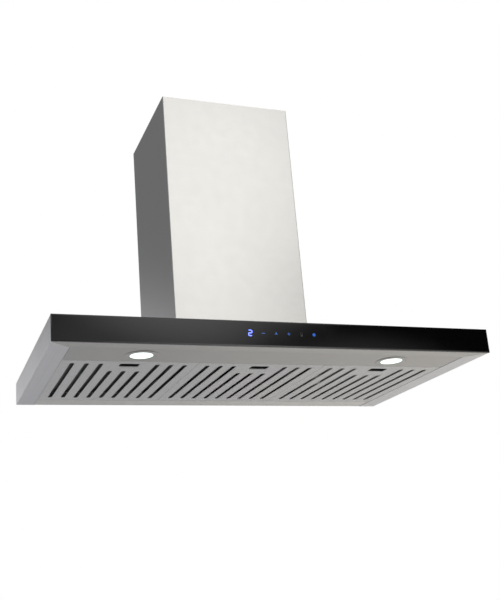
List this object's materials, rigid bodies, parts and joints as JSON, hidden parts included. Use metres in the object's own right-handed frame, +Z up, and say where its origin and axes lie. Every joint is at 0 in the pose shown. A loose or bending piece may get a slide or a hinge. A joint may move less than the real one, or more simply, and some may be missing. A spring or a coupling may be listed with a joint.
{
  "type": "wall-mounted chimney range hood",
  "caption": "Flat box-canopy range hood with a square chimney flue, black glass touch control front, two round lamps and tilting slotted grease filters.",
  "frame": {"origin": "centre of the canopy's back face, on the wall plane, halfway up the 50 mm canopy", "axes": "+X to the right along the wall as seen from the room, +Y into the wall, +Z up; the glass front faces -Y"},
  "size_m": [0.9, 0.505, 0.655],
  "materials": {
    "stainless": "brushed stainless steel",
    "galvanised": "dull galvanised sheet",
    "black_glass": "polished black tempered glass",
    "black_plastic": "fine moulded texture",
    "grey_plastic": "moulded",
    "circuit_board": "solder mask",
    "display": "lit segments",
    "lamp_lens": "frosted, lit",
    "cast_aluminium": "cast",
    "bright_steel": "plated"
  },
  "bodies": {
    "hood": {"canopy_shell": "stainless", "rear_rail": "stainless", "light_panel": "stainless", "lower_flue": "stainless", "glass_fascia": "black_glass", "control_housing": "black_plastic", "control_board": "circuit_board", "display_module": "display", "led_driver": "grey_plastic", "control_cable": "black_plastic", "motor_housing": "galvanised", "volute_left": "galvanised", "volute_right": "galvanised", "inlet_ring_left": "galvanised", "inlet_ring_right": "galvanised", "motor_bracket": "galvanised", "motor_body": "cast_aluminium", "capacitor": "grey_plastic", "duct_collar": "galvanised", "damper_spindle": "bright_steel", "control_box": "grey_plastic", "control_box_lid": "grey_plastic", "cable_gland": "black_plastic", "touch_pad_1": "black_plastic", "touch_pad_2": "black_plastic", "touch_pad_3": "black_plastic", "touch_pad_4": "black_plastic", "touch_pad_5": "black_plastic", "housing_screw_1": "bright_steel", "housing_screw_2": "bright_steel", "housing_screw_3": "bright_steel", "housing_screw_4": "bright_steel", "lamp_bezel_left": "bright_steel", "lamp_lens_left": "lamp_lens", "lamp_module_left": "cast_aluminium", "lamp_bezel_right": "bright_steel", "lamp_lens_right": "lamp_lens", "lamp_module_right": "cast_aluminium"},
    "upper_flue": {"upper_flue": "stainless", "upper_flue_bracket": "galvanised"},
    "fan": {"impeller": "black_plastic", "motor_shaft": "bright_steel", "impeller_nut": "bright_steel"},
    "damper_front": {"damper_flap_front": "galvanised"},
    "damper_rear": {"damper_flap_rear": "galvanised"},
    "filter_left": {"filter_face_left": "stainless", "filter_baffle_left": "stainless", "latch_cup_left": "black_plastic", "latch_spring_left": "bright_steel"},
    "latch_left": {"filter_latch_left": "black_plastic"},
    "filter_centre": {"filter_face_centre": "stainless", "filter_baffle_centre": "stainless", "latch_cup_centre": "black_plastic", "latch_spring_centre": "bright_steel"},
    "latch_centre": {"filter_latch_centre": "black_plastic"},
    "filter_right": {"filter_face_right": "stainless", "filter_baffle_right": "stainless", "latch_cup_right": "black_plastic", "latch_spring_right": "bright_steel"},
    "latch_right": {"filter_latch_right": "black_plastic"}
  },
  "joints": [
    {"name": "upper_flue_slide", "type": "slide", "parent": "hood", "child": "upper_flue", "axis": [0, 0, 1], "range_m": [0, 0.4]},
    {"name": "fan_spin", "type": "hinge", "parent": "hood", "child": "fan", "pos_m": [0, -0.17232, 0.1403], "axis": [1, 0, 0], "continuous": true},
    {"name": "damper_front_swing", "type": "hinge", "parent": "hood", "child": "damper_front", "pos_m": [0, -0.11313, 0.3176], "axis": [-1, 0, 0], "range_deg": [0, 78]},
    {"name": "damper_rear_swing", "type": "hinge", "parent": "hood", "child": "damper_rear", "pos_m": [0, -0.11313, 0.3176], "axis": [1, 0, 0], "range_deg": [0, 78]},
    {"name": "filter_left_tilt", "type": "hinge", "parent": "hood", "child": "filter_left", "pos_m": [-0.27333, -0.047, -0.02285], "axis": [1, 0, 0], "range_deg": [0, 55]},
    {"name": "filter_centre_tilt", "type": "hinge", "parent": "hood", "child": "filter_centre", "pos_m": [0, -0.047, -0.02285], "axis": [1, 0, 0], "range_deg": [0, 55]},
    {"name": "filter_right_tilt", "type": "hinge", "parent": "hood", "child": "filter_right", "pos_m": [0.27333, -0.047, -0.02285], "axis": [1, 0, 0], "range_deg": [0, 55]},
    {"name": "latch_left_slide", "type": "slide", "parent": "filter_left", "child": "latch_left", "axis": [0, 1, 0], "range_m": [0, 0.006], "stiffness_N_per_m": 300, "springref_m": -0.004, "deforming": ["latch_spring_left"]},
    {"name": "latch_centre_slide", "type": "slide", "parent": "filter_centre", "child": "latch_centre", "axis": [0, 1, 0], "range_m": [0, 0.006], "stiffness_N_per_m": 300, "springref_m": -0.004, "deforming": ["latch_spring_centre"]},
    {"name": "latch_right_slide", "type": "slide", "parent": "filter_right", "child": "latch_right", "axis": [0, 1, 0], "range_m": [0, 0.006], "stiffness_N_per_m": 300, "springref_m": -0.004, "deforming": ["latch_spring_right"]}
  ]
}
